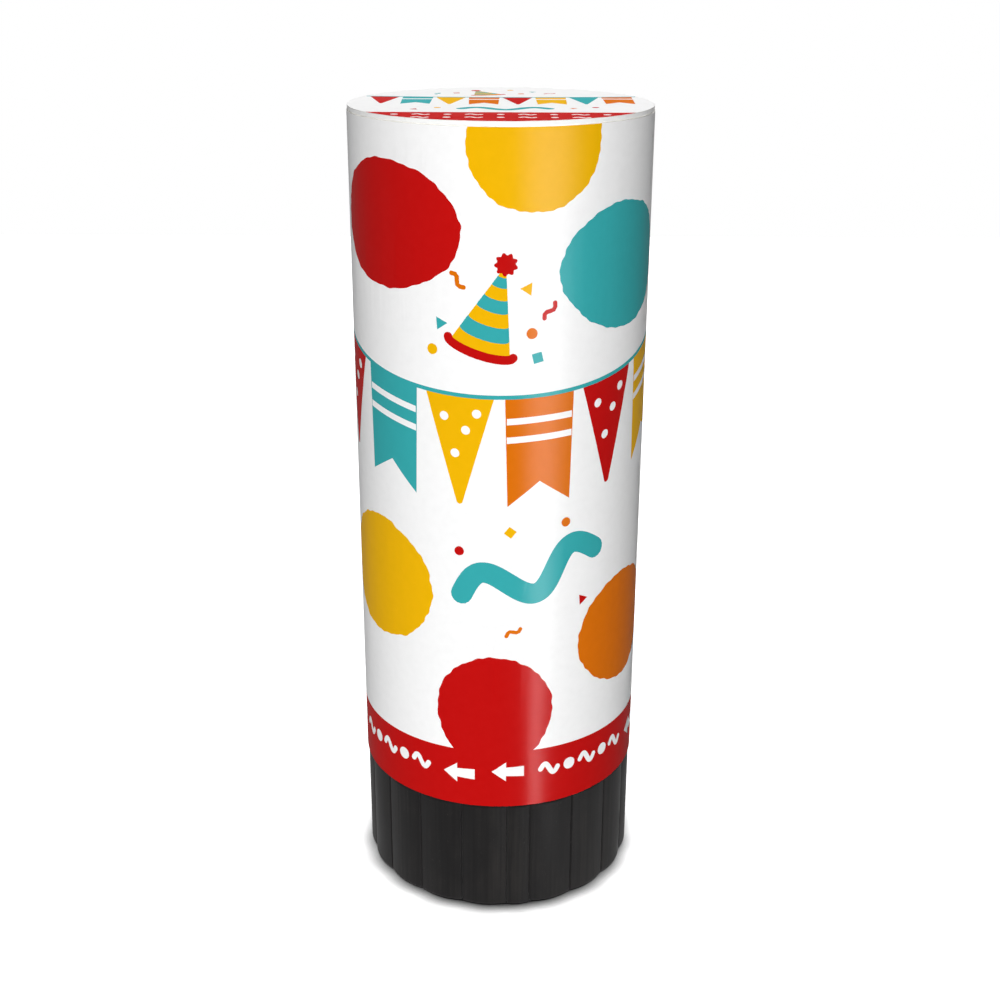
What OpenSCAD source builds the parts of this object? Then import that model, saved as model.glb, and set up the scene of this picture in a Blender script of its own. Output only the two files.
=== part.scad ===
/* [Tube and label] */
// Outside diameter of the cardboard tube
tube_d = 41.5; // [40:0.1:48]
// Wall of the cardboard tube
tube_wall = 1.5; // [1:0.1:2.2]
// Length of the tube
tube_len = 97.9; // [85:0.1:140]
// Thickness of the printed label
label_t = 0.2; // [0.1:0.05:0.4]
// Gap left at the label's butt seam, at the back
seam_gap = 0.3; // [0.1:0.1:1]
// Height of the card ring inside the mouth
stop_ring_h = 5; // [3:0.5:8]
// Wall of the card ring inside the mouth
stop_ring_wall = 1.3; // [0.8:0.1:1.8]

/* [Seal] */
// How far the peel-off disc stands inside the label
seal_inset = 0.1; // [0:0.1:1]
// Thickness of the disc's card
seal_card_t = 0.5; // [0.3:0.1:1.5]
// Thickness of the printed face
seal_print_t = 0.1; // [0.1:0.05:0.3]
// Thickness of the glue ring
seal_glue_t = 0.1; // [0.1:0.05:0.3]
// Width of the glue ring
seal_glue_w = 1.1; // [0.6:0.1:1.4]

/* [Twist base] */
// Height of the grip
base_h = 17.5; // [15:0.5:24]
// How far the flutes' crests stand inside the label
base_inset = 0.2; // [0:0.1:1]
// Full flutes round the grip, besides the half one at the front
flute_count = 18; // [12:1:24]
// Radius of a flute's crown
flute_crown_r = 9; // [8:0.5:16]
// Width of the groove between two flutes
groove_w = 0.9; // [0.5:0.1:1.4]
// Wall behind the grooves
base_wall = 1.5; // [1:0.1:2]
// Chamfer round the grip's lower edge
foot_chamfer = 0.5; // [0.2:0.1:1]
// Chamfer round the grip's upper edge
top_chamfer = 0.3; // [0.1:0.1:0.8]
// Gap between the grip and the tube's lower end
base_gap = 0.3; // [0.2:0.1:0.8]
// Thickness of the web that runs on the neck
web_t = 1.6; // [1.2:0.1:2.5]

/* [Base cover] */
// Depth of the cover below the foot
cover_recess = 0.6; // [0.3:0.1:1]
// Thickness of the cover
cover_t = 1.6; // [1.2:0.1:2.4]
// Ledge that the cover is pressed against
ledge_w = 1.2; // [0.8:0.1:2]
// Thickness of the ledge
ledge_t = 1.2; // [0.8:0.1:2]
// Height of the socket that holds the cam
socket_h = 2.4; // [1.5:0.1:3.5]
// Wall of the socket
socket_wall = 1.4; // [1:0.1:2]

/* [Collar] */
// Outside radius of the neck
neck_r = 13; // [12.6:0.1:14]
// Wall of the neck
neck_wall = 2; // [1.6:0.1:2.4]
// How far the shoulder stands out from the neck
shoulder_w = 2; // [1:0.1:2.4]
// Lip below the ring's groove
neck_lip = 1.8; // [1.2:0.1:2.5]
// Thickness of the collar's floor
floor_t = 2; // [1.5:0.1:3]
// Radius of the latch hole
latch_hole_r = 4; // [3.8:0.1:4.4]
// Height of the cup wall glued in the tube
cup_h = 12.5; // [8:0.5:15]
// Wall of the cup
cup_wall = 1.5; // [1:0.1:2]
// Thickness of the retaining ring
ring_t = 1.4; // [1:0.1:2]
// Depth of the ring's groove
ring_bite = 0.8; // [0.5:0.1:1.1]
// Width of the retaining ring
ring_w = 2.4; // [1.8:0.1:2.6]

/* [Release cam] */
// Half length of the cam's oval bore
cam_long = 7.4; // [7:0.1:8]
// Half width of the cam's oval bore
cam_short = 3.9; // [3.6:0.1:4.2]

/* [Plunger] */
// Thickness of the plunger's disc
plunger_t = 2; // [1.6:0.1:3]
// Wall of the plunger's skirt
skirt_wall = 1.5; // [1:0.1:2]
// Radius of the hub
hub_r = 5.6; // [5.3:0.1:6.5]
// Length of the hub below the disc
hub_h = 7; // [4:0.5:10]
// Radius of the rod
rod_r = 3.4; // [3.2:0.1:3.6]
// Radius of the rod's head
rod_head_r = 4.8; // [4.2:0.1:5]
// Thickness of the rod's head
rod_head_t = 0.9; // [0.6:0.1:1.2]
// Length of the fork's legs above the barbs
leg_len = 10; // [7:0.5:12]
// Thickness of a leg
leg_t = 1.6; // [1.2:0.1:1.8]
// Width of a leg
leg_w = 3.2; // [2:0.1:3.4]
// How far a barb stands out from its leg
barb_w = 2.2; // [1.6:0.1:2.3]
// Height of a barb's square edge
barb_edge = 0.9; // [0.6:0.1:1.4]
// Length of a barb's slope
barb_slope = 3.4; // [2:0.1:4]

/* [Spring] */
// Diameter of the spring's wire
wire_d = 1.2; // [0.8:0.1:1.4]
// Radius of the coil at the middle of the wire
coil_r = 12.5; // [12.3:0.1:13]
// Turns between the two closed ends
coil_turns = 9; // [6:1:12]
// Pitch of those turns when cocked
coil_pitch = 2.1; // [1.9:0.1:2.6]

/* [Load] */
// Thickness of the card wad
wad_t = 1.5; // [0.8:0.1:3]
// Gap between neighbouring stacks of paper rounds
round_gap = 0.2; // [0.1:0.1:1]
// Height of the packets that a stack is made of
packet_h = 6; // [4:0.5:12]
// Space left above the tallest stack, below the stop ring
head_space = 2.5; // [1:0.5:8]

/* [Hidden] */
$fn = 96;

// Clearances
glue_gap = 0.05;   // between glued or pressed round faces
run_gap = 0.06;    // between the web and the neck
play = 0.1;        // end play of turning and sliding pieces
slide_gap = 0.15;  // between the plunger and the tube
free_gap = 0.6;    // round pieces that never touch
turn_gap = 0.45;   // between the closed turns of the spring
wad_gap = 0.25;    // between the wad and the stop ring's bore
overrun = 1;       // how far a cut runs past its face

// Tube and mouth
tube_r = tube_d / 2;
bore_r = tube_r - tube_wall;
label_in = tube_r + glue_gap;
label_r = label_in + label_t;
tube_z = base_h + base_gap;
mouth_z = tube_z + tube_len;
fitted_r = bore_r - glue_gap;
stop_r = fitted_r - stop_ring_wall;
stop_z = mouth_z - stop_ring_h;

// Seal
seal_r = label_r - seal_inset;
card_z = mouth_z + seal_glue_t;
print_z = card_z + seal_card_t;

// Base, from the foot up
base_r = label_r - base_inset;
half_share = 0.5;
flute_angle = 360 / (flute_count + half_share);
half_angle = flute_angle * half_share;
first_groove = 3.66;
crown_offset = base_r - flute_crown_r;
cusp_r = crown_offset * cos(flute_angle / 2)
    + sqrt(pow(flute_crown_r, 2) - pow(crown_offset * sin(flute_angle / 2), 2));
groove_root_r = cusp_r - groove_w / 2;
cavity_r = groove_root_r - base_wall;
cover_top = cover_recess + cover_t;
ledge_top = cover_top + ledge_t;
ledge_r = cavity_r - ledge_w;
socket_top = cover_top + socket_h;
neck_z = socket_top + free_gap;
ring_groove_z = neck_z + neck_lip;
ring_z = ring_groove_z + glue_gap;
ring_groove_top = ring_z + ring_t + glue_gap;
web_z = ring_groove_top + play;
web_top = web_z + web_t;
shoulder_z = web_top + play;
web_bore_r = neck_r + run_gap;
shoulder_r = neck_r + shoulder_w;
neck_bore_r = neck_r - neck_wall;
cam_r = neck_bore_r - free_gap;
cam_top = tube_z - 3 * play;
socket_r = cam_r + glue_gap;

// Stops that end the twist
twist_range = 90;
lug_angle = 16;
lug_middle = 45;
lug_h = 2.6;
stop_angle = 10;
stop_play_angle = 0.5;
stop_out_r = cavity_r - free_gap / 2;

// Keys that lock the cover to the base
key_w = 3;
key_depth = 0.8;
key_count = 3;

// Stiffening ribs
rib_t = 1;
base_rib_count = 6;
collar_rib_count = 8;
collar_rib_h = 4.5;
plunger_rib_count = 8;
plunger_rib_h = 3;

// Spring and what centres it
floor_top = tube_z + floor_t;
end_pitch = wire_d + turn_gap;
coil_rings = 12;
wire_sides = 6;
coil_inner_r = coil_r * cos(180 / coil_rings) - wire_d / 2;
coil_outer_r = coil_r + wire_d / 2;
guide_r = coil_inner_r - free_gap / 2;
guide_wall = 1.4;
guide_h = 2.5;
spring_z = floor_top + glue_gap + wire_d / 2;
coil_rise = coil_turns * coil_pitch + 2 * end_pitch;
plunger_z = spring_z + coil_rise + wire_d / 2 + glue_gap;
plunger_top = plunger_z + plunger_t;

// Plunger, rod and fork
plunger_r = bore_r - slide_gap;
skirt_z = floor_top + cup_h + free_gap;
barb_top = tube_z - play;
barb_z = barb_top - barb_edge;
fork_tip_z = barb_z - barb_slope;
leg_out = rod_r;
leg_in = leg_out - leg_t;
barb_r = leg_out + barb_w;
fork_z = barb_top + leg_len;
fork_head_h = 3;
spigot_r = 1.6;
spigot_h = 4;
rod_z = fork_z + fork_head_h;

// Wad and confetti
wad_z = plunger_top + glue_gap;
wad_r = stop_r - wad_gap;
stack_z = wad_z + wad_t + glue_gap;
stack_h = stop_z - head_space - stack_z;
packet_shift = 0.12;
packet_turn = 137.5;
round_d = (wad_r - round_gap - 3 * packet_shift) * 2 / 3;
stack_ring_r = wad_r - round_d / 2 - packet_shift;
stack_height_share = [1, 0.98, 0.955, 0.99, 0.965, 0.945, 0.975];

// A ring of square section about the vertical axis
module ring(inner, outer, z, h) {
    rotate_extrude()
        translate([inner, z])
            square([outer - inner, h]);
}

// Upright ribs that run outwards from the axis
module ribs(count, inner, outer, z, h, phase = 0) {
    for (i = [0:count - 1])
        rotate(phase + i * 360 / count)
            translate([inner, -rib_t / 2, z])
                cube([outer - inner, rib_t, h]);
}

// Wound cardboard tube
module tube() {
    color("burlywood")
        ring(bore_r, tube_r, tube_z, tube_len);
}

// Printed paper wrapped once round the tube
module label() {
    seam_angle = 360 * seam_gap / (2 * PI * label_r);
    color("white")
        rotate(90 + seam_angle / 2)
            rotate_extrude(angle = 360 - seam_angle)
                translate([label_in, tube_z])
                    square([label_t, tube_len]);
}

// Card ring glued flush inside the mouth
module stop_ring() {
    color("tan")
        ring(stop_r, fitted_r, stop_z, stop_ring_h);
}

// Moulded cup, floor and neck in one
module collar() {
    stop_half = stop_angle / 2;
    reach = lug_angle / 2 + stop_play_angle + stop_half;
    color("dimgray") {
        rotate_extrude()
            polygon([
                [latch_hole_r, tube_z],
                [neck_bore_r, tube_z],
                [neck_bore_r, neck_z],
                [neck_r, neck_z],
                [neck_r, ring_groove_z],
                [neck_r - ring_bite, ring_groove_z],
                [neck_r - ring_bite, ring_groove_top],
                [neck_r, ring_groove_top],
                [neck_r, shoulder_z],
                [shoulder_r, shoulder_z],
                [shoulder_r, tube_z],
                [fitted_r, tube_z],
                [fitted_r, floor_top + cup_h],
                [fitted_r - cup_wall, floor_top + cup_h],
                [fitted_r - cup_wall, floor_top],
                [guide_r, floor_top],
                [guide_r, floor_top + guide_h],
                [guide_r - guide_wall, floor_top + guide_h],
                [guide_r - guide_wall, floor_top],
                [latch_hole_r, floor_top]
            ]);
        ribs(collar_rib_count, coil_outer_r + free_gap, fitted_r - cup_wall + glue_gap,
            floor_top - glue_gap, collar_rib_h);
        for (middle = [lug_middle + reach, lug_middle - twist_range - reach])
            rotate(middle - stop_half)
                rotate_extrude(angle = stop_angle)
                    translate([shoulder_r - glue_gap, shoulder_z])
                        square([stop_out_r - shoulder_r, tube_z - shoulder_z + glue_gap]);
    }
}

// Split ring sprung into the neck's groove
module retaining_ring() {
    ring_in = neck_r - ring_bite + glue_gap;
    split_angle = 24;
    color("silver")
        rotate(180 + split_angle / 2)
            rotate_extrude(angle = 360 - split_angle)
                translate([ring_in, ring_z])
                    square([ring_w, ring_t]);
}

// Outline of the grip: crowned flutes with a narrow groove between each two
module base_outline() {
    difference() {
        union() {
            circle(r = cusp_r - groove_w / 4);
            for (i = [0:flute_count - 1])
                rotate(first_groove - 90 - (i + half_share) * flute_angle)
                    translate([crown_offset, 0])
                        circle(r = flute_crown_r);
            rotate(first_groove - 90 + half_angle / 2)
                translate([base_r - flute_crown_r * half_share, 0])
                    circle(r = flute_crown_r * half_share);
        }
        for (i = [0:flute_count])
            rotate(first_groove - 90 - i * flute_angle)
                translate([cusp_r, 0])
                    rotate(45)
                        square(groove_w / sqrt(2), center = true);
    }
}

// Fluted grip with its web, ledge, cover keys and stop lug
module twist_base() {
    color("#262626") {
        difference() {
            intersection() {
                linear_extrude(base_h)
                    base_outline();
                rotate_extrude()
                    polygon([
                        [0, 0],
                        [base_r - foot_chamfer, 0],
                        [base_r, foot_chamfer],
                        [base_r, base_h - top_chamfer],
                        [base_r - top_chamfer, base_h],
                        [0, base_h]
                    ]);
            }
            rotate_extrude()
                polygon([
                    [0, -overrun],
                    [cavity_r, -overrun],
                    [cavity_r, cover_top],
                    [ledge_r, cover_top],
                    [ledge_r, ledge_top],
                    [cavity_r, ledge_top],
                    [cavity_r, web_z],
                    [web_bore_r, web_z],
                    [web_bore_r, web_top],
                    [cavity_r, web_top],
                    [cavity_r, base_h + overrun],
                    [0, base_h + overrun]
                ]);
        }
        ribs(base_rib_count, neck_r + ring_w, cavity_r + glue_gap,
            ledge_top - glue_gap, web_z - ledge_top + 2 * glue_gap);
        for (i = [0:key_count - 1])
            rotate(i * 360 / key_count)
                translate([cavity_r - key_depth, -key_w / 2, cover_recess])
                    cube([key_depth + glue_gap, key_w, cover_t + glue_gap]);
        rotate(lug_middle - lug_angle / 2)
            rotate_extrude(angle = lug_angle)
                translate([shoulder_r + free_gap / 2, web_top - glue_gap])
                    square([cavity_r - shoulder_r - free_gap / 2 + glue_gap, lug_h]);
    }
}

// Disc pressed into the foot, with the cam's socket
module base_cover() {
    slot_w = key_w + 2 * glue_gap;
    slot_depth = key_depth + 2 * glue_gap;
    color("#303030") {
        difference() {
            translate([0, 0, cover_recess])
                cylinder(r = cavity_r - glue_gap, h = cover_t);
            for (i = [0:key_count - 1])
                rotate(i * 360 / key_count)
                    translate([cavity_r - slot_depth, -slot_w / 2, -overrun])
                        cube([slot_depth + overrun, slot_w, cover_top + 2 * overrun]);
        }
        ring(socket_r, socket_r + socket_wall, cover_top - glue_gap, socket_h + glue_gap);
    }
}

// Sleeve whose oval bore squeezes the barbs in
module release_cam() {
    arc_r = (pow(cam_long, 2) + pow(cam_short, 2)) / (2 * cam_short);
    color("gainsboro")
        difference() {
            translate([0, 0, cover_top])
                cylinder(r = cam_r, h = cam_top - cover_top);
            translate([0, 0, cover_top - overrun])
                linear_extrude(cam_top - cover_top + 2 * overrun)
                    intersection() {
                        translate([0, arc_r - cam_short])
                            circle(r = arc_r);
                        translate([0, cam_short - arc_r])
                            circle(r = arc_r);
                    }
        }
}

// Height of the wire's middle after t turns: closed ends, open turns between
function coil_height(t) = t < 1
    ? t * end_pitch
    : (t < coil_turns + 1
        ? end_pitch + (t - 1) * coil_pitch
        : end_pitch + coil_turns * coil_pitch + (t - coil_turns - 1) * end_pitch);

// Middle of the wire after t turns
function coil_point(t) = [
    coil_r * cos(360 * t),
    coil_r * sin(360 * t),
    spring_z + coil_height(t)
];

// Compression spring: one round wire swept along the coil
module spring() {
    total_turns = coil_turns + 2;
    steps = total_turns * coil_rings;
    wire_r = wire_d / 2;
    points = [
        for (i = [0:steps])
            let (t = i / coil_rings, middle = coil_point(t))
                for (k = [0:wire_sides - 1])
                    let (a = k * 360 / wire_sides)
                        middle + [
                            wire_r * cos(a) * cos(360 * t),
                            wire_r * cos(a) * sin(360 * t),
                            wire_r * sin(a)
                        ]
    ];
    walls = [
        for (i = [0:steps - 1])
            for (k = [0:wire_sides - 1])
                let (
                    a = i * wire_sides + k,
                    b = i * wire_sides + (k + 1) % wire_sides,
                    c = a + wire_sides,
                    d = b + wire_sides
                )
                    each [[a, b, d], [a, d, c]]
    ];
    first_cap = [for (k = [1:wire_sides - 2]) [0, k + 1, k]];
    last = steps * wire_sides;
    last_cap = [for (k = [1:wire_sides - 2]) [last, last + k, last + k + 1]];
    nearest = min([
        for (i = [0:steps - coil_rings])
            norm(coil_point((i + coil_rings) / coil_rings) - coil_point(i / coil_rings))
    ]);
    echo(least_gap_between_turns = nearest - wire_d);
    color("lightsteelblue")
        polyhedron(points = points, faces = concat(walls, first_cap, last_cap));
}

// Cup that slides in the tube, with its hub, spring guide and stiffening ribs
module plunger() {
    color("whitesmoke") {
        rotate_extrude()
            polygon([
                [rod_r + glue_gap, plunger_z - hub_h],
                [hub_r, plunger_z - hub_h],
                [hub_r, plunger_z],
                [guide_r - guide_wall, plunger_z],
                [guide_r - guide_wall, plunger_z - guide_h],
                [guide_r, plunger_z - guide_h],
                [guide_r, plunger_z],
                [plunger_r - skirt_wall, plunger_z],
                [plunger_r - skirt_wall, skirt_z],
                [plunger_r, skirt_z],
                [plunger_r, plunger_top],
                [rod_head_r + glue_gap, plunger_top],
                [rod_head_r + glue_gap, plunger_top - rod_head_t - glue_gap],
                [rod_r + glue_gap, plunger_top - rod_head_t - glue_gap]
            ]);
        ribs(plunger_rib_count, coil_outer_r + free_gap, plunger_r - skirt_wall + glue_gap,
            plunger_z - plunger_rib_h, plunger_rib_h + glue_gap);
    }
}

// Rod with its riveted head, and the socket for the fork's spigot
module plunger_rod() {
    color("whitesmoke")
        rotate_extrude()
            polygon([
                [0, rod_z + spigot_h + 2 * glue_gap],
                [spigot_r + glue_gap, rod_z + spigot_h + 2 * glue_gap],
                [spigot_r + glue_gap, rod_z],
                [rod_r, rod_z],
                [rod_r, plunger_top - rod_head_t],
                [rod_head_r, plunger_top - rod_head_t],
                [rod_head_r, plunger_top],
                [0, plunger_top]
            ]);
}

// Two springy legs with barbs, on a spigot that fits in the rod
module latch_fork() {
    color("gold") {
        translate([0, 0, fork_z])
            cylinder(r = rod_r, h = fork_head_h);
        translate([0, 0, rod_z - glue_gap])
            cylinder(r = spigot_r, h = spigot_h);
        for (side = [0, 1])
            mirror([side, 0, 0])
                translate([0, leg_w / 2, 0])
                    rotate([90, 0, 0])
                        linear_extrude(leg_w)
                            polygon([
                                [leg_in, fork_z + glue_gap],
                                [leg_in, fork_tip_z],
                                [leg_out - leg_t / 2, fork_tip_z],
                                [barb_r, barb_z],
                                [barb_r, barb_top],
                                [leg_out, barb_top],
                                [leg_out - 2 * glue_gap, fork_z + glue_gap]
                            ]);
    }
}

// Card disc on top of the plunger
module wad() {
    color("peru")
        translate([0, 0, wad_z])
            cylinder(r = wad_r, h = wad_t);
}

// Stack number i of paper rounds, in packets that lie a little askew
module confetti_stack(i) {
    height = stack_h * stack_height_share[i];
    packets = ceil(height / packet_h);
    each_h = height / packets;
    out = i == 0 ? 0 : stack_ring_r;
    for (k = [0:packets - 1])
        rotate(i * 60)
            translate([out, 0, stack_z + k * each_h])
                rotate(k * packet_turn)
                    translate([packet_shift, 0, 0])
                        cylinder(d = round_d, h = each_h + (k < packets - 1 ? glue_gap : 0));
}

module confetti_red() {
    color("#c41414")
        for (i = [1, 4])
            confetti_stack(i);
}

module confetti_yellow() {
    color("#f5b90b")
        for (i = [2, 5])
            confetti_stack(i);
}

module confetti_teal() {
    color("#3aafb3")
        for (i = [3, 6])
            confetti_stack(i);
}

module confetti_orange() {
    color("#e07814")
        confetti_stack(0);
}

// Glue that holds the disc to the rim of the tube
module seal_adhesive() {
    glue_in = tube_r - (tube_wall + seal_glue_w) / 2;
    color("ivory")
        ring(glue_in, glue_in + seal_glue_w, mouth_z, seal_glue_t);
}

// White card body of the peel-off disc
module seal_card() {
    color("white")
        translate([0, 0, card_z])
            cylinder(r = seal_r, h = seal_card_t);
}

// Printed face of the peel-off disc
module seal_print() {
    color("#c41414")
        translate([0, 0, print_z])
            cylinder(r = seal_r, h = seal_print_t);
}

tube();
label();
stop_ring();
collar();
retaining_ring();
twist_base();
base_cover();
release_cam();
spring();
plunger();
plunger_rod();
latch_fork();
wad();
confetti_red();
confetti_yellow();
confetti_teal();
confetti_orange();
seal_adhesive();
seal_card();
seal_print();
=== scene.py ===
import math
import random

import bmesh
import bpy
from mathutils import Matrix, Vector
from mathutils.geometry import delaunay_2d_cdt


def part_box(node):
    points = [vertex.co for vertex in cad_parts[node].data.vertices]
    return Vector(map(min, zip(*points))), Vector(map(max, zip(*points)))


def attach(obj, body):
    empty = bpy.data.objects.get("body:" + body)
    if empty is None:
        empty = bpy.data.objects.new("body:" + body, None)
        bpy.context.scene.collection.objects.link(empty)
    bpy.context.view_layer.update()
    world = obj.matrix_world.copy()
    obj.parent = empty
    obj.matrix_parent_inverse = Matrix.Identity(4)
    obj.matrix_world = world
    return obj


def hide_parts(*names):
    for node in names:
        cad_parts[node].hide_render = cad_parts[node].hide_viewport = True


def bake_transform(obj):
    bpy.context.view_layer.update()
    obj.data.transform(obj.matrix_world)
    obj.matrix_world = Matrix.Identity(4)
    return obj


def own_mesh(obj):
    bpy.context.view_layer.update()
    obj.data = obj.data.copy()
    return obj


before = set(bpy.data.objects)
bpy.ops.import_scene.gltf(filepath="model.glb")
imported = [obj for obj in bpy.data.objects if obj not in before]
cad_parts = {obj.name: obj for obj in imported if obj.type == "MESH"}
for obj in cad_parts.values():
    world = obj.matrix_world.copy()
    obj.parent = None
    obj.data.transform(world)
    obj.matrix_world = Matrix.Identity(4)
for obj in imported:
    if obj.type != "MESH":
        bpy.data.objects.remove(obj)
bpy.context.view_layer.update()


# The camera
# It stands in front, a little above the mouth, and looks down. Its distance, tilt and lens are
# fitted to the tube's edges, both rims and the foot.
MM = 0.001
camera_height = 137.86 * MM
camera_distance = 203.06 * MM
camera_tilt = math.radians(21.44)
camera_roll = math.radians(0.195)
lens_length = 51.98
film_width = 36.0
side_shift = 0.00055
up_shift = 0.0005
nearest_seen = 10 * MM


def put(name, form):
    """A new thing in the scene, from its camera, lamp or mesh."""
    made = bpy.data.objects.new(name, form)
    bpy.context.collection.objects.link(made)
    return made


camera = put("camera", bpy.data.cameras.new("camera"))
camera.matrix_world = (Matrix.Translation((0, -camera_distance, camera_height))
                       @ Matrix.Rotation(math.pi / 2 - camera_tilt, 4, "X")
                       @ Matrix.Rotation(camera_roll, 4, "Z"))
camera.data.lens = lens_length
camera.data.sensor_width = film_width
camera.data.shift_x = side_shift
camera.data.shift_y = up_shift
camera.data.clip_start = nearest_seen
bpy.context.scene.camera = camera
bpy.context.scene.view_settings.view_transform = "Standard"


# The room
# A white room with a matt white floor. The room only lights the popper softly, and shows as white
# behind it and in its gloss. The floor takes the lamps' shadows, and round the foot a painted shadow,
# leaning to the front, darkens its colour and its glow. The floor is clear from below.
def new_finish(name):
    """A new material, its nodes and its shader."""
    finish = bpy.data.materials.new(name)
    finish.use_nodes = True
    return finish, finish.node_tree, finish.node_tree.nodes["Principled BSDF"]


def wire(node, inputs):
    """Set a node's inputs, each to a value or to what another node gives."""
    for name, value in inputs.items():
        if isinstance(value, bpy.types.NodeSocket):
            node.id_data.links.new(value, node.inputs[name])
        else:
            node.inputs[name].default_value = value


def step(tree, kind, inputs=None, **settings):
    """One node, with its settings and inputs."""
    made = tree.nodes.new("ShaderNode" + kind)
    for name, value in settings.items():
        setattr(made, name, value)
    wire(made, inputs or {})
    return made


def times(tree, first, second):
    """The product of two values."""
    return step(tree, "Math", {0: first, 1: second}, operation="MULTIPLY").outputs[0]


room_light = 0.02
room = bpy.data.worlds.new("room")
room.use_nodes = True
bpy.context.scene.world = room
ray = step(room.node_tree, "LightPath").outputs
seen = step(room.node_tree, "Math", {0: ray["Is Camera Ray"], 1: ray["Is Glossy Ray"]}, operation="ADD")
seen_or_through = step(room.node_tree, "Math", {0: seen.outputs[0], 1: ray["Is Transmission Ray"]},
                       operation="ADD", use_clamp=True)
strength = step(room.node_tree, "MapRange",
                {"Value": seen_or_through.outputs[0], "To Min": room_light, "To Max": 1})
wire(room.node_tree.nodes["Background"], {"Color": (1, 1, 1, 1), "Strength": strength.outputs[0]})

floor_half = 0.5
floor_drop = 0.02 * MM
floor_mesh = bpy.data.meshes.new("floor")
floor_mesh.from_pydata(
    [(x * floor_half, y * floor_half, -floor_drop) for x, y in ((-1, -1), (1, -1), (1, 1), (-1, 1))],
    [], [(0, 1, 2, 3)])
floor = put("floor", floor_mesh)
floor.visible_glossy = False
floor.visible_diffuse = False
floor.visible_shadow = False
floor_white = 0.93
floor_glow = 0.6
deepest_shadow = 0.25
shadow_reach = 2.2 * MM
shadow_lean = (0, 0.75, 0.66)
floor_paint, paint, shader = new_finish("floor_paint")
ray = step(paint, "LightPath").outputs
lean = step(paint, "CombineXYZ", dict(zip("XYZ", shadow_lean)))
# Painted shadow: close round the foot, more in front, the floor's colour and glow are darkened.
corner = step(paint, "AmbientOcclusion", {"Distance": shadow_reach, "Normal": lean.outputs[0]})
painted_shadow_ramp = step(paint, "MapRange", {"Value": corner.outputs["AO"], "From Min": deepest_shadow})
unshaded_share = painted_shadow_ramp.outputs["Result"]
wire(shader, {
    "Roughness": 1, "Specular IOR Level": 0, "Base Color": times(paint, unshaded_share, floor_white),
    "Emission Color": (1, 1, 1, 1),
    "Emission Strength": times(paint, ray["Is Camera Ray"], times(paint, unshaded_share, floor_glow)),
})
face = step(paint, "NewGeometry")
clear = step(paint, "BsdfTransparent")
one_way = step(paint, "MixShader",
               {0: face.outputs["Backfacing"], 1: shader.outputs[0], 2: clear.outputs[0]})
wire(paint.nodes["Material Output"], {"Surface": one_way.outputs[0]})
floor_mesh.materials.append(floor_paint)


# The lamps
# Soft lamps in front, behind, overhead and low at both sides. A tall lamp on the right only shows in
# the varnish, as the upright streak: its graded cover leaves it wide at the head, narrow at the foot.
def hang_lamp(name, place, aim, width, height, level, lean=0):
    """A flat lamp; level is the brightness of a white sheet that faces it at the aim. It leans
    about the line to the aim."""
    lamp = bpy.data.lights.new(name, "AREA")
    lamp.shape = "RECTANGLE"
    lamp.size = width
    lamp.size_y = height
    away = Vector(place) - Vector(aim)
    lamp.energy = level * math.pi ** 2 * away.length_squared
    fitting = put(name, lamp)
    fitting.location = place
    facing = away.to_track_quat("Z", "Y").to_matrix()
    fitting.rotation_euler = (facing @ Matrix.Rotation(lean, 3, "Z")).to_euler()
    return fitting


middle = (0, 0, 60 * MM)
foot = (0, 0, 0)
hang_lamp("top_lamp", (0, 0.05, 1.1), middle, 0.8, 0.8, 0.78)
for name, place, aim, width, height, level, beam in (
        ("front_lamp", (-0.05, -1.2, 0.12), middle, 0.35, 0.35, 1.015, 180),
        ("back_lamp", (0.25, 1.2, 0.5), middle, 0.5, 0.5, 0.62, 180),
        ("left_low_lamp", (-0.5, 0.04, -0.02), foot, 0.16, 0.1, 0.0058, 30),
        ("right_low_lamp", (0.5, 0.04, -0.02), foot, 0.16, 0.1, 0.0024, 30)):
    soft_lamp = hang_lamp(name, place, aim, width, height, level)
    soft_lamp.data.spread = math.radians(beam)
    soft_lamp.visible_glossy = False
streak_turn = math.radians(33.6)
streak_lean = math.radians(-10)
streak_distance = 0.6
streak_foot = -0.42
streak_head = 0.1
streak_width = 0.8
streak_level = 16
streak_middle = (streak_head + streak_foot) / 2
streak_lamp = hang_lamp(
    "streak_lamp",
    (streak_distance * math.sin(streak_turn), -streak_distance * math.cos(streak_turn), streak_middle),
    (0, 0, streak_middle), streak_width, streak_head - streak_foot, streak_level, streak_lean)
streak_lamp.visible_diffuse = False
streak_lamp.visible_transmission = False
streak_lamp.data.use_nodes = True
cover = streak_lamp.data.node_tree
graded_from = 0.05
graded_to = 0.85
spot = step(cover, "NewGeometry")
sides = step(cover, "SeparateXYZ", {0: spot.outputs["Parametric"]}).outputs
inward = step(cover, "Math", {0: sides["X"], 1: 0.5}, operation="PINGPONG")
cloth = step(cover, "MapRange", {"Value": inward.outputs[0], "From Max": 0.5},
             interpolation_type="SMOOTHSTEP")
for graded, at_foot, at_head in (("From Min", 0.43, 0.04), ("To Max", 0.98, 0.42)):
    grade = step(cover, "MapRange", {
        "Value": sides["Y"], "From Min": graded_from, "From Max": graded_to,
        "To Min": at_foot, "To Max": at_head,
    })
    wire(cloth, {graded: grade.outputs["Result"]})
wire(cover.nodes["Emission"], {"Strength": cloth.outputs["Result"]})


# The twist base
# One moulding in black plastic: 18 crowned flutes and a half one, with narrow round-bottomed grooves
# between them, a web that turns on the neck, ribs, three keys for the cover and the stop lug.
def noise(tree, size, stretch=(1, 1, 1), detail=4):
    """Noise fixed to the piece, with grains of that size, drawn out along each axis by stretch."""
    place = step(tree, "TexCoord").outputs["Object"]
    scale = step(tree, "Mapping", {"Scale": [1 / (size * s) for s in stretch], "Vector": place})
    grain = step(tree, "TexNoise", {"Scale": 1, "Detail": detail, "Vector": scale.outputs[0]})
    return grain.outputs["Fac"]


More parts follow.
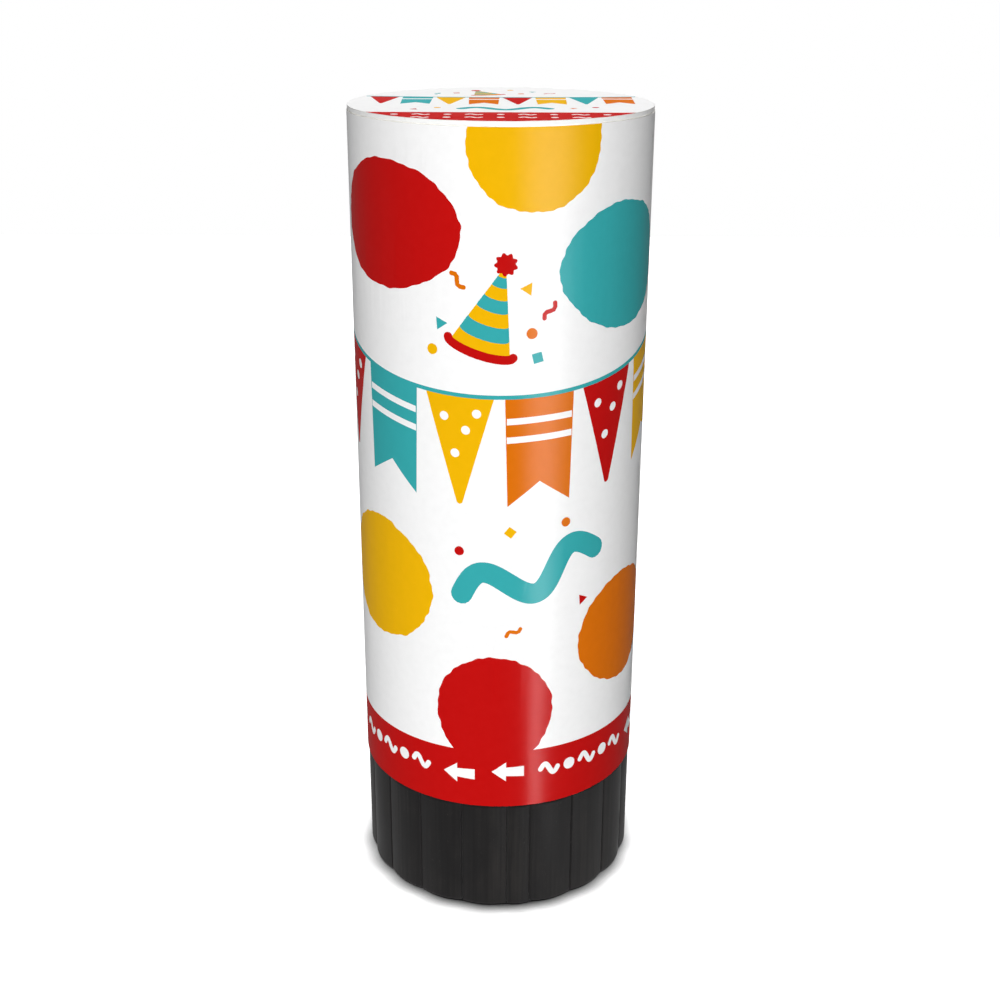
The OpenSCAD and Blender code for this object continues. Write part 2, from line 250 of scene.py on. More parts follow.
def shade(tree, amount, *stops):
    """Colours along a ramp between two stops, each (place, colour)."""
    ramp = step(tree, "ValToRGB", {"Fac": amount})
    for element, (place, colour) in zip(ramp.color_ramp.elements, stops):
        element.position = place
        element.color = (*colour, 1)
    return ramp.outputs["Color"]


def patches(tree, amount, low, high, most=1):
    """A share that grows from none, where the noise is low, to the most, where it is high."""
    return shade(tree, amount, (low, (0, 0, 0)), (high, (most, most, most)))


def between(tree, amount, low, high):
    """The noise turned into a value from low to high."""
    spread = step(tree, "MapRange", {
        "Value": amount, "From Min": 0.3, "From Max": 0.7, "To Min": low, "To Max": high,
    })
    return spread.outputs["Result"]


def mixed(tree, amount, first, second):
    """The first colour, with the second one over it by amount."""
    blend = step(tree, "Mix", {"Factor": amount, "A": first, "B": second}, data_type="RGBA")
    return blend.outputs["Result"]


def emboss(tree, shader, *layers):
    """Raise the surface by noises; each layer is (noise, height in metres)."""
    below = {}
    for amount, height in layers:
        bump = step(tree, "Bump", {"Strength": 1, "Distance": height, "Height": amount, **below})
        below = {"Normal": bump.outputs["Normal"]}
    wire(shader, below)


def moulded_plastic(name, dark, light, dust, roughness, gloss=0.5, sheen=0):
    """Injection-moulded plastic: drag marks along the mould, fine grain, and dust in patches."""
    finish, tree, shader = new_finish(name)
    drag = noise(tree, 0.5 * MM, (1, 1, 40))
    cloud = noise(tree, 6 * MM, (1, 1, 1.6), 5)
    specks = noise(tree, 0.22 * MM, detail=2)
    body = shade(tree, drag, (0.3, dark), (0.72, light))
    worn = shade(tree, drag, (0.3, light), (0.72, dust))
    body = mixed(tree, patches(tree, cloud, 0.42, 0.75, 0.45), body, worn)
    body = mixed(tree, patches(tree, specks, 0.7, 0.76), body, (*dust, 1))
    wire(shader, {
        "Base Color": body, "Roughness": between(tree, cloud, roughness - 0.06, roughness + 0.08),
        "Specular IOR Level": gloss, "Sheen Weight": sheen, "Sheen Roughness": 0.85,
    })
    emboss(tree, shader, (drag, 0.012 * MM), (noise(tree, 0.12 * MM), 0.006 * MM))
    return finish


def eased(corners, bends=4):
    """A closed outline with its corners rounded. A corner is (radius, height, follow, easing)."""
    outline = []
    for i, (*corner, easing) in enumerate(corners):
        here = Vector(corner)
        sides = [Vector(corners[(i + k) % len(corners)][:3]) - here for k in (-1, 1)]
        if easing == 0:
            outline.append(tuple(here))
            continue
        reach = [min(easing, side.xy.length / 2) / side.xy.length for side in sides]
        start, end = (here + side * share for side, share in zip(sides, reach))
        for k in range(bends + 1):
            t = k / bends
            outline.append(tuple((1 - t) ** 2 * start + 2 * t * (1 - t) * here + t ** 2 * end))
    return outline


def finished(mesh, finishes, smooth_angle=35):
    """Give a mesh its finishes and smooth shading, with its sharper edges kept sharp."""
    mesh.shade_smooth()
    mesh.set_sharp_from_angle(angle=math.radians(smooth_angle))
    mesh.materials.clear()
    for finish in finishes:
        mesh.materials.append(finish)


def laid(name, points, faces, finishes, **shading):
    """A piece from its points and faces, with outward faces, finished."""
    mesh = bpy.data.meshes.new(name)
    mesh.from_pydata([tuple(p) for p in points], [], faces)
    shell = bmesh.new()
    shell.from_mesh(mesh)
    bmesh.ops.recalc_face_normals(shell, faces=shell.faces)
    shell.to_mesh(mesh)
    shell.free()
    finished(mesh, finishes, **shading)
    return put(name, mesh)


def at(r, angle):
    """The place at that distance from the axis and at that angle."""
    return r * math.cos(angle), r * math.sin(angle)


def turned(outline, angles, inward=None):
    """Points and faces of a closed outline carried round the axis. Where inward is given, it says
    how far the surface lies inside its crests at an angle, for points that follow it."""
    points = []
    for angle in angles:
        depth = inward(angle) if inward else 0
        points += [(*at(radius - depth * follow, angle), height) for radius, height, follow in outline]
    rows, columns = len(outline), len(angles)
    faces = []
    for i in range(columns):
        n = (i + 1) % columns
        for j in range(rows):
            k = (j + 1) % rows
            faces.append((i * rows + j, n * rows + j, n * rows + k, i * rows + k))
    return points, faces


def block(low, high, turn):
    """Points and faces of a block from low to high, turned about the axis."""
    turned_by = Matrix.Rotation(turn, 3, "Z")
    points = [
        turned_by @ Vector((x, y, z))
        for z in (low[2], high[2]) for y in (low[1], high[1]) for x in (low[0], high[0])
    ]
    return points, [(0, 1, 3, 2), (4, 6, 7, 5), (0, 4, 5, 1), (1, 5, 7, 3), (3, 7, 6, 2), (2, 6, 4, 0)]


def ringed(count, corners):
    """Faces of so many rings of corners, joined one after another and closed at both ends."""
    faces = [tuple(range(corners)), tuple(range((count - 1) * corners, count * corners))]
    for first in range(0, (count - 1) * corners, corners):
        for k in range(corners):
            n = (k + 1) % corners
            faces.append((first + k, first + n, first + corners + n, first + corners + k))
    return faces


def sector(inner, outer, low, high, start, end, steps=6):
    """Points and faces of a block bent to the round, from one angle to another."""
    angles = [start + (end - start) * k / steps for k in range(steps + 1)]
    points = [(*at(r, a), z)
              for a in angles for r, z in ((inner, low), (outer, low), (outer, high), (inner, high))]
    return points, ringed(steps + 1, 4)


def gathered(*parts):
    """The points and faces of several parts as one."""
    points, faces = [], []
    for more_points, more_faces in parts:
        faces += [tuple(len(points) + v for v in face) for face in more_faces]
        points += more_points
    return points, faces


def round_steps(count):
    """That many angles, evenly round the axis."""
    return [math.tau * k / count for k in range(count)]


base_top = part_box("twist_base")[1].z
base_r = 20.8 * MM
cavity_r = -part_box("base_cover")[0].x + 0.05 * MM
full_flutes = 18
flute_turn = math.tau / (full_flutes + 0.5)
first_groove = math.radians(3.66 - 90)
crown_r = 9 * MM
groove_width = 0.4 * MM
groove_depth = 0.45 * MM
rounding = 1e-9


def flute_surface(off, crown):
    """Radius of a crowned flute at an angle off its middle."""
    offset = base_r - crown
    return offset * math.cos(off) + math.sqrt(crown ** 2 - (offset * math.sin(off)) ** 2)


def flute_depth(angle):
    """How far the grip lies inside its crests at an angle: the crown's fall and the groove."""
    past = (first_groove - angle) % math.tau
    number = min(int(past / flute_turn + rounding), full_flutes)
    share = 1 if number < full_flutes else 2
    half = flute_turn / 2 / share
    off = past - number * flute_turn - half
    fall = base_r - flute_surface(off, crown_r / share)
    aside = (half - abs(off)) * base_r
    if aside < groove_width / 2:
        fall += groove_depth * math.cos(math.pi * aside / groove_width) ** 2
    return fall


groove_steps = [0, 0.07, 0.14, 0.2, 0.26, 0.5]
crown_steps = 7
base_angles = []
for number in range(full_flutes + 1):
    width = (flute_turn if number < full_flutes else flute_turn / 2) * base_r / MM
    lip = groove_steps[-1]
    across = groove_steps + [lip + (width - 2 * lip) * k / crown_steps for k in range(1, crown_steps)]
    across += [width - s for s in reversed(groove_steps[1:])]
    base_angles += [first_groove - number * flute_turn - s * MM / base_r for s in across]
web_bore_r = 13.06 * MM
web_low = 8.6 * MM
web_high = 10.2 * MM
ledge_r = cavity_r - 1.2 * MM
ledge_low = 2.2 * MM
ledge_high = 3.4 * MM
base_outline = eased([
    (base_r, 0, 1, 0.55 * MM), (base_r, base_top, 1, 0.4 * MM),
    (cavity_r, base_top, 0, 0.2 * MM), (cavity_r, web_high, 0, 0.3 * MM),
    (web_bore_r, web_high, 0, 0.15 * MM), (web_bore_r, web_low, 0, 0.15 * MM),
    (cavity_r, web_low, 0, 0.3 * MM), (cavity_r, ledge_high, 0, 0.2 * MM),
    (ledge_r, ledge_high, 0, 0.15 * MM), (ledge_r, ledge_low, 0, 0.15 * MM),
    (cavity_r, ledge_low, 0, 0), (cavity_r, 0, 0, 0.2 * MM),
])
base_parts = [turned(base_outline, base_angles, flute_depth)]
sunk = 0.1 * MM
ribs = 6
rib_inner = 15.4 * MM
rib_half = 0.5 * MM
for turn in round_steps(ribs):
    base_parts.append(block((rib_inner, -rib_half, ledge_high - sunk),
                            (cavity_r + sunk, rib_half, web_low + sunk), turn))
keys = 3
key_depth = 0.8 * MM
key_half = 1.5 * MM
key_low = 0.6 * MM
key_high = 2.25 * MM
for turn in round_steps(keys):
    base_parts.append(block((cavity_r - key_depth, -key_half, key_low),
                            (cavity_r + sunk, key_half, key_high), turn))
stop_inner = 15.3 * MM
stop_top = 12.8 * MM
stop_start, stop_end = math.radians(37), math.radians(53)
base_parts.append(sector(stop_inner, cavity_r + sunk, web_high - sunk, stop_top, stop_start, stop_end))
black_plastic = moulded_plastic("black_plastic", (0.0034, 0.0029, 0.0031), (0.007, 0.0062, 0.0064),
                                (0.034, 0.03, 0.027), 0.56, 0.025, 0.05)
twist_base = laid("grip_ring", *gathered(*base_parts), [black_plastic])
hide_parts("twist_base")
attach(twist_base, "grip_base")


# The base cover
# A black disc pressed into the foot, on three keys. Its underside has the turned rings of the
# mould, a raised rim and the gate mark at the middle, and its upper side the socket of the cam.
def capped(outline, angles, inward=None):
    """Like turned, for an open outline whose two ends lie on the axis."""
    points, faces = turned(outline[1:-1], angles, inward)
    rows, columns = len(outline) - 2, len(angles)
    faces = [f for i, f in enumerate(faces) if i % rows != rows - 1]
    points += [(0, 0, outline[0][1]), (0, 0, outline[-1][1])]
    for i in range(columns):
        n = (i + 1) % columns
        faces.append((n * rows, i * rows, len(points) - 2))
        faces.append((i * rows + rows - 1, n * rows + rows - 1, len(points) - 1))
    return points, faces


cover_low, cover_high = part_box("base_cover")
cover_r = cavity_r - 0.05 * MM
cover_top = ledge_low
slot_depth = 0.9 * MM
slot_half = math.radians(5.1)
slot_floor = slot_half * 0.98
slot_edge = slot_half + 0.001
third = math.tau / keys
rim = third - 2 * slot_half
rim_steps = 24


def key_slot(angle):
    """Depth of the cover's edge at an angle: the three slots that pass the keys."""
    aside = abs((angle + third / 2) % third - third / 2)
    return slot_depth if aside < slot_half else 0


cover_angles = []
for slot in round_steps(keys):
    cover_angles += [slot + side for side in (-slot_edge, -slot_floor, 0, slot_floor, slot_edge)]
    cover_angles += [slot + slot_half + rim * n / rim_steps for n in range(1, rim_steps)]
cover_outline = [(r * MM, cover_low.z + up * MM, 0) for r, up in (
    (0, 0.25), (0.9, 0.25), (1.1, 0.5), (2.4, 0.5), (2.7, 0.1), (8.2, 0.1),
    (8.5, 0.3), (9.3, 0.3), (9.6, 0.1), (14.6, 0.1), (14.8, 0))]
cover_outline += [
    (cover_r - 0.2 * MM, cover_low.z, 1), (cover_r, cover_low.z + 0.2 * MM, 1), (cover_r, cover_top, 1),
    (12 * MM, cover_top, 0), (11.8 * MM, cover_high.z, 0), (10.45 * MM, cover_high.z, 0),
    (10.45 * MM, cover_top, 0), (0, cover_top, 0),
]
cover = laid("foot_cover", *capped(cover_outline, cover_angles, key_slot), [black_plastic],
             smooth_angle=30)
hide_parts("base_cover")
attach(cover, "grip_base")


# The collar, the cam, the retaining ring and the plunger
# Moulded dark grey collar glued in the tube, the cam sleeve in its neck, the pale plunger and its
# rod, and the split steel ring that holds the base on. Their CAD solids only get their finishes.
grey_plastic = moulded_plastic("grey_plastic", (0.11, 0.11, 0.12), (0.17, 0.17, 0.18),
                               (0.24, 0.24, 0.24), 0.5)
pale_plastic = moulded_plastic("pale_plastic", (0.74, 0.73, 0.69), (0.84, 0.83, 0.8),
                               (0.7, 0.68, 0.62), 0.42)


def drawn_steel(name, stretch):
    """Bright steel with fine scratches along its length and a little oil."""
    finish, tree, shader = new_finish(name)
    lines = noise(tree, 0.15 * MM, stretch, 3)
    wire(shader, {
        "Base Color": shade(tree, lines, (0.3, (0.4, 0.41, 0.43)), (0.7, (0.62, 0.63, 0.65))),
        "Metallic": 1, "Roughness": between(tree, noise(tree, 3 * MM), 0.22, 0.4),
    })
    emboss(tree, shader, (lines, 0.004 * MM))
    return finish


def refinish(finish, *names):
    """Give CAD nodes a new finish."""
    for name in names:
        finished(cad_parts[name].data, [finish])


refinish(grey_plastic, "collar", "release_cam")
refinish(pale_plastic, "plunger", "plunger_rod")
refinish(drawn_steel("drawn_steel", (6, 6, 1)), "retaining_ring")


# The spring
# One steel wire wound into nine open turns between two closed ends. It stands on the collar's floor
# and pushes the plunger.
wire_r = 0.6 * MM
coil_r = 12.5 * MM
open_turns = 9
coil_pitch = 2.1 * MM
closed_pitch = 1.65 * MM
rings_per_turn = 28
wire_sides = 10
spring_low, spring_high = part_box("spring")


def coil_height(turns):
    """Height of the wire's middle after so many turns."""
    closed = min(turns, 1) + max(0, turns - open_turns - 1)
    opened = min(max(turns - 1, 0), open_turns)
    return spring_low.z + wire_r + closed * closed_pitch + opened * coil_pitch


points = []
rings = (open_turns + 2) * rings_per_turn + 1
for i in range(rings):
    turns = i / rings_per_turn
    for around in round_steps(wire_sides):
        points.append((*at(coil_r + wire_r * math.cos(around), math.tau * turns),
                       coil_height(turns) + wire_r * math.sin(around)))
spring_wire = drawn_steel("spring_wire", (1, 1, 1))
spring = laid("wound_spring", points, ringed(rings, wire_sides), [spring_wire],
              smooth_angle=60)
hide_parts("spring")
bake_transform(spring)


# The latch fork
# Moulded fork on the rod's end: two springy legs whose barbs hook under the collar's floor. The
# cam squeezes the legs together as the base turns.
leg_gap = 1.8 * MM
leg_out = 3.4 * MM
leg_half = 1.6 * MM
barb_out = 5.6 * MM
fork_low, fork_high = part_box("latch_fork")
barb_top = 17.7 * MM
barb_edge = 0.9 * MM
fork_head = 27.7 * MM
rod_end = 30.7 * MM
spigot_r = 1.6 * MM
leg_outline = [
    (leg_gap, fork_head + 0.1 * MM), (leg_gap, fork_low.z + 0.5 * MM), (leg_gap + 0.3 * MM, fork_low.z),
    (leg_gap + 0.9 * MM, fork_low.z + 0.1 * MM), (barb_out - 0.3 * MM, barb_top - barb_edge - 0.4 * MM),
    (barb_out, barb_top - barb_edge), (barb_out, barb_top - 0.15 * MM), (barb_out - 0.15 * MM, barb_top),
    (leg_out + 0.4 * MM, barb_top), (leg_out + 0.1 * MM, barb_top + 0.15 * MM),
    (leg_out - 0.1 * MM, barb_top + 1 * MM), (leg_out - 0.1 * MM, fork_head + 0.1 * MM),
]


def slab(outline, half, side):
    """Points and faces of an outline in X and Z made 2 * half thick along Y, mirrored by side."""
    points = [(side * x, y, z) for y in (-half, half) for x, z in outline]
    return points, ringed(2, len(outline))


fork_angles = round_steps(48)
spigot_low = rod_end - 0.05 * MM
chamfer = 0.3 * MM
fork = laid("barbed_fork", *gathered(
    capped([(0, fork_head, 0), (leg_out - chamfer, fork_head, 0), (leg_out, fork_head + chamfer, 0),
            (leg_out, rod_end, 0), (0, rod_end, 0)], fork_angles),
    capped([(0, spigot_low, 0), (spigot_r, spigot_low, 0), (spigot_r, fork_high.z - chamfer, 0),
            (spigot_r - chamfer, fork_high.z, 0), (0, fork_high.z, 0)], fork_angles),
    slab(leg_outline, leg_half, 1), slab(leg_outline, leg_half, -1)), [pale_plastic], smooth_angle=30)
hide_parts("latch_fork")
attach(fork, "piston")
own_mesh(fork)


# The tube
# Kraft card wound on a slant in four plies and glued, cut square at both ends. The cut ends show
# the plies as fine rings, and the slanted joint of the inner ply shows down the bore.
def card(name, dark, light, height=0.02 * MM):
    """Unprinted card or board: short fibres, a mottled colour and a matt face."""
    finish, tree, shader = new_finish(name)
    fibre = noise(tree, 0.3 * MM, (3, 3, 1), 5)
    mottle = noise(tree, 4 * MM)
    fleck = noise(tree, 0.5 * MM, (1, 1, 3), 2)
    deeper = [c * 0.6 for c in dark]
    pale = [min(1, c * 1.12) for c in light]
    body = shade(tree, fibre, (0.3, dark), (0.7, light))
    for cloud, low, high, most, first, last in (
            (mottle, 0.35, 0.8, 0.5, light, pale), (fleck, 0.68, 0.74, 0.6, deeper, dark)):
        body = mixed(tree, patches(tree, cloud, low, high, most), body,
                     shade(tree, fibre, (0.3, first), (0.7, last)))
    wire(shader, {"Base Color": body, "Roughness": between(tree, mottle, 0.78, 0.92),
                  "Specular IOR Level": 0.3})
    emboss(tree, shader, (fibre, height), (mottle, 0.02 * MM))
    return finish


kraft = card("kraft_card", (0.40, 0.27, 0.155), (0.56, 0.41, 0.26))
tube_low, tube_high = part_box("tube")
tube_r = tube_high.x
tube_wall = 1.5 * MM
bore_r = tube_r - tube_wall
plies = 4
ply_width = tube_wall / plies
ply_nick = 0.05 * MM
ply_proud = 0.03 * MM
ply_lap = 0.1 * MM
wind_rise = math.tan(math.radians(58))
wall_rows = 40
wall_heights = [tube_low.z + (tube_high.z - tube_low.z) * row / wall_rows for row in range(wall_rows + 1)]
tube_outline = [(tube_r, height, 0) for height in wall_heights]
for number in range(plies):
    outer = tube_r - number * ply_width
    proud = ply_proud * (number % 2)
    for share, drop in ((0.12, 0), (0.88, 0), (1, ply_nick)):
        if share < 1 or number < plies - 1:
            tube_outline.append((outer - ply_width * share, tube_high.z - drop - proud, 0))
tube_outline += [(bore_r, height, 1) for height in reversed(wall_heights)]
for number in reversed(range(1, plies)):
    tube_outline.append((tube_r - number * ply_width, tube_low.z + ply_nick, 0))
joint_half = 1.2 * MM / bore_r
plain_half = math.pi - joint_half
tube_steps = 120
tube_angles = [-joint_half, -joint_half / 3, 0, joint_half / 4]
tube_angles += [joint_half + 2 * plain_half * k / tube_steps for k in range(tube_steps)]


def bore_joint(angle):
    """How far the inner ply's slanted joint is sunk in the bore's face at this angle."""
    return -ply_lap if abs(angle) < joint_half / 10 else 0


points, faces = turned(tube_outline, tube_angles, bore_joint)
wound = []
for x, y, z in points:
    slant = z * wind_rise / tube_r
    wound.append((x * math.cos(slant) - y * math.sin(slant), x * math.sin(slant) + y * math.cos(slant), z))
tube = laid("wound_tube", wound, faces, [kraft], smooth_angle=40)
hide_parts("tube")
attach(tube, "barrel")


# The printed label
# Coated white paper wrapped once round the tube, butted at the back. The print is rough-edged dots,
# bunting, a paper hat, a streamer, and a red band whose arrows show which way the base turns.
def sheet_colour(red, green, blue):
    """A printed colour, given as it is seen on the sheet, in the scene's own values."""
    return tuple(((c / 255 + 0.055) / 1.055) ** 2.4 if c > 10 else c / 255 / 12.92
                 for c in (red, green, blue))


def printed(name, colour, varnish=0):
    """Ink on paper: a slightly uneven tint and faint fibres, matt or under a thin broken varnish."""
    finish, tree, shader = new_finish(name)
    patch = noise(tree, 14 * MM, detail=3)
    thick = [c * 0.985 for c in colour]
    thin = [min(1, c * 1.02 + 0.001) for c in colour]
    wire(shader, {
        "Base Color": shade(tree, noise(tree, 1.2 * MM, detail=5), (0.25, thick), (0.75, thin)),
        "Roughness": between(tree, patch, 0.55, 0.7),
        "Specular IOR Level": 0 if varnish else 0.02,
    })
    emboss(tree, shader, (noise(tree, 0.25 * MM, detail=3), 0.001 * MM), (patch, 0.004 * MM))
    if varnish:
        wire(shader, {"Coat Weight": varnish, "Coat Roughness": 0.2,
                      "Coat Normal": shader.inputs["Normal"].links[0].from_socket})
    return finish


ink_colours = {
    "white": sheet_colour(248, 248, 248), "red": sheet_colour(190, 13, 12),
    "yellow": sheet_colour(238, 180, 5), "teal": sheet_colour(54, 166, 170),
    "orange": sheet_colour(218, 111, 6),
}
ink_order = list(ink_colours)
varnish = 0.08
varnished_inks = [printed("varnished_" + ink, colour, varnish) for ink, colour in ink_colours.items()]


def placed(loop, across, up, turn=0, size=1):
    """A shape moved to its place on the flat sheet, in millimetres, turned and sized."""
    c, s = math.cos(turn) * size, math.sin(turn) * size
    return [(across + x * c - y * s, up + x * s + y * c) for x, y in loop]


edge_waves = {2: 1.3, 3: 1.1, 5: 0.7, 8: 0.6, 13: 0.55, 19: 0.5, 27: 0.55, 38: 0.5}


def round_shape(radius, corners=24, rough=0, seed=0):
    """A round shape, or one with an uneven edge like that of a sponge print."""
    dice = random.Random(seed)
    waves = [(count, dice.uniform(0, math.tau), dice.uniform(0.4, 1) * rough * size)
             for count, size in edge_waves.items()]
    return [at(radius * (1 + sum(size * math.sin(count * angle + start) for count, start, size in waves)),
               angle) for angle in round_steps(corners)]


def bar(half, start, end):
    """A rectangle of that half width, from one height to another."""
    return [(-half, start), (half, start), (half, end), (-half, end)]


def pennant(width, drop, notch=0):
    """A paper flag that hangs from its top edge, pointed or with a notched tail."""
    half = width / 2
    tail, fall = (half * 0.92, drop) if notch else (half * 0.08, drop * 0.985)
    return [(-half, 0), (-tail, -fall), (0, -drop + notch), (tail, -fall), (half, 0)]


def ribbon(path, width):
    """A line of that width along a path, with round ends."""
    left, right = [], []
    for i, here in enumerate(path):
        along = (Vector(path[min(i + 1, len(path) - 1)]) - Vector(path[max(i - 1, 0)])).normalized()
        side = Vector((-along.y, along.x)) * width / 2
        left.append(tuple(Vector(here) + side))
        right.append(tuple(Vector(here) - side))
    caps = []
    steps = 8
    for end, before in ((path[-1], path[-2]), (path[0], path[1])):
        toward = Vector(end) - Vector(before)
        heading = math.atan2(toward.y, toward.x)
        bow = [at(width / 2, heading + (math.pi * k / steps - math.pi / 2)) for k in range(steps - 1, 0, -1)]
        caps.append(placed(bow, *end))
    return left + caps[0] + right[::-1] + caps[1]


def wavy(length, height, waves, steps=48):
    """A path that swings up and down."""
    return [(length * (k / steps - 0.5), height * math.sin(math.tau * waves * k / steps))
            for k in range(steps + 1)]


def string(height_at, reach, thick, steps):
    """A printed string that hangs as height_at says, as far as reach to each side."""
    path = [-reach + 2 * reach * k / steps for k in range(steps + 1)]
    return ([(x, height_at(x) + thick / 2) for x in path]
            + [(x, height_at(x) - thick / 2) for x in reversed(path)])


def paper_hat(tall, wide):
    """Shapes of a striped cone hat: body, stripes that curve with the cone, brim and pompom."""
    dip = 0.24
    steps = 12
    pompom = 0.17 * wide
    lobes = 9

    def hoop(up):
        half = wide / 2 * (1 - up)
        return [(half * math.cos(t), up * tall - dip * half * math.sin(t))
                for t in (math.pi * k / steps for k in range(steps + 1))]

    shapes = [("yellow", hoop(0) + [(0, tall)])]
    for low, high in ((0.17, 0.33), (0.48, 0.62), (0.75, 0.86)):
        shapes.append(("teal", hoop(low) + hoop(high)[::-1]))
    shapes.append(("red", ribbon([(x * 1.1, y) for x, y in hoop(0)], 0.105 * tall)))
    tuft = [at(pompom * (1 + 0.12 * math.cos(lobes * t)), t) for t in round_steps(8 * lobes)]
    shapes.append(("red", placed(tuft, 0, tall)))
    return shapes


def scraps(places, size, centre=0):
    """Cut paper scraps: discs, squares, triangles and slips at their places (across, up, kind, ink)."""
    kinds = {
        "disc": round_shape(0.55, 20), "square": bar(0.5, -0.5, 0.5),
        "three": [(0.75 * math.sin(t), 0.75 * math.cos(t)) for t in round_steps(3)],
        "slip": ribbon([(-0.9 + 0.3 * k, 0.25 * math.sin(k * 1.1)) for k in range(7)], 0.45),
    }
    return [(ink, placed(kinds[kind], centre + across, up, 0.9 * number, size))
            for number, (across, up, kind, ink) in enumerate(places)]


def inside(loop, x, y):
    """Whether a point lies within a shape."""
    within = False
    for (x1, y1), (x2, y2) in zip(loop, loop[1:] + loop[:1]):
        if (y1 > y) != (y2 > y) and x < x1 + (y - y1) * (x2 - x1) / (y2 - y1):
            within = not within
    return within


merge_gap = 1e-5


def cut_by_ink(border, shapes, guides=()):
    """Cut a flat sheet along its printed shapes, later ones on top. Gives the points, and the
    triangles with the number of the ink that each carries."""
    points, edges = [], []
    for loop in [border] + [loop for ink, loop in shapes]:
        first = len(points)
        points += [Vector(p) for p in loop]
        edges += [(first + k, first + (k + 1) % len(loop)) for k in range(len(loop))]
    for start, end in guides:
        edges.append((len(points), len(points) + 1))
        points += [Vector(start), Vector(end)]
    flat, _, triangles, *_ = delaunay_2d_cdt(points, edges, [], 0, merge_gap)
    spans = []
    for ink, loop in reversed(shapes):
        across, up = zip(*loop)
        spans.append((min(across), max(across), min(up), max(up), ink_order.index(ink), loop))
    kept = []
    for triangle in triangles:
        x = sum(flat[v].x for v in triangle) / 3
        y = sum(flat[v].y for v in triangle) / 3
        if not inside(border, x, y):
            continue
        number = 0
        for west, east, south, north, ink, loop in spans:
            if west < x < east and south < y < north and inside(loop, x, y):
                number = ink
                break
        kept.append((tuple(triangle), number))
    return flat, kept


def printed_piece(name, flat, kept, face_at, back_at, finishes):
    """A thin sheet from its cut-up flat form. face_at and back_at place a flat point on the front
    and on the back; the last finish is that of the back and the cut edge."""
    used = sorted({v for triangle, ink in kept for v in triangle})
    place = {v: k for k, v in enumerate(used)}
    count = len(used)
    points = [side_at(flat[v].x, flat[v].y) for side_at in (face_at, back_at) for v in used]
    bare = len(finishes) - 1
    faces, numbers, borders = [], [], {}
    for triangle, ink in kept:
        a, b, c = (place[v] for v in triangle)
        faces += [(a, b, c), (a + count, c + count, b + count)]
        numbers += [ink, bare]
        for start, end in ((a, b), (b, c), (c, a)):
            if not borders.pop((end, start), False):
                borders[(start, end)] = True
    for start, end in borders:
        faces.append((start, start + count, end + count, end))
        numbers.append(bare)
    piece = laid(name, points, faces, finishes, smooth_angle=50)
    piece.data.polygons.foreach_set("material_index", numbers)
    return piece


label_low, label_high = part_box("label")
label_r = label_high.x / MM
label_bottom = label_low.z / MM
label_top = label_high.z / MM
label_t = 0.2
seam_gap = 0.3
half_round = math.pi * label_r - seam_gap / 2
band_top = 27.1
overprint = 1
label_shapes = [("red", bar(half_round + overprint, label_bottom - overprint, band_top))]
dots = [
    (-16.6, 102.6, 11.3, 8.5, "red"), (4.6, 113.9, 9.0, 8.9, "yellow"), (18.9, 97.1, 10.9, 8.4, "teal"),
    (-20.0, 51.5, 10.4, 9.1, "yellow"), (21.6, 43.1, 9.5, 8.7, "orange"), (-0.7, 33.5, 8.4, 9.1, "red"),
    (44.5, 105.0, 9.0, 8.7, "orange"), (-62.0, 113.6, 9.1, 8.8, "red"), (-45.5, 98.0, 9.0, 8.5, "yellow"),
    (44.5, 50.5, 9.4, 9.0, "teal"), (-44.5, 45.0, 9.2, 8.7, "red"), (65.0, 35.0, 8.6, 8.5, "yellow"),
]
dot_corners = 180
dot_roughness = 0.0125
for number, (across, up, half_width, half_height, ink) in enumerate(dots):
    rough = round_shape(1, dot_corners, dot_roughness, number + 3)
    label_shapes.append((ink, [(across + x * half_width, up + y * half_height) for x, y in rough]))

swag_half = math.pi * label_r / 2
swag_top = 86.5
swag_sag = 5.6


def string_height(across):
    """Height of the bunting's string, in two equal swags round the tube."""
    along = (across + swag_half) % (2 * swag_half) - swag_half
    return swag_top - swag_sag * (1 - (along / swag_half) ** 2)


def hung(shape, across):
    """A shape hung from the string at that place. Its top edge follows the string."""
    return [(across + x, string_height(across + x) + y) for x, y in shape]


flag_inks = ["red", "teal", "yellow", "orange", "red", "yellow"]
flag_pitch = swag_half / 3
flag_width = 9.6
flag_drop = 15.5
flag_notch = 3.4
stripe_half = 4.55
stripe_width = 0.9
spot_r = 0.62
flag_bars = [bar(stripe_half, up - stripe_width / 2, up + stripe_width / 2) for up in (-3.4, -6.0)]
flag_spots = [placed(round_shape(spot_r, 18), x, y)
              for x, y in ((-2.1, -3.2), (0.9, -4.8), (-0.6, -8.2), (2.4, -2.4))]
for swag in range(-1, 2):
    for number, ink in enumerate(flag_inks):
        across = swag * 2 * swag_half + (number - 2.5) * flag_pitch
        if abs(across) > half_round:
            continue
        notched = number % 2
        flag = pennant(flag_width, flag_drop, flag_notch * notched)
        label_shapes.append((ink, hung(flag, across)))
        label_shapes += [("white", hung(mark, across)) for mark in (flag_bars if notched else flag_spots)]
string_width = 0.55
string_overrun = 0.5
string_steps = 160
knot_r = 1.3
label_shapes.append(("teal", string(string_height, half_round + string_overrun, string_width, string_steps)))
for across in (-swag_half, swag_half):
    label_shapes.append(("orange", placed(round_shape(knot_r, 28), across, swag_top)))

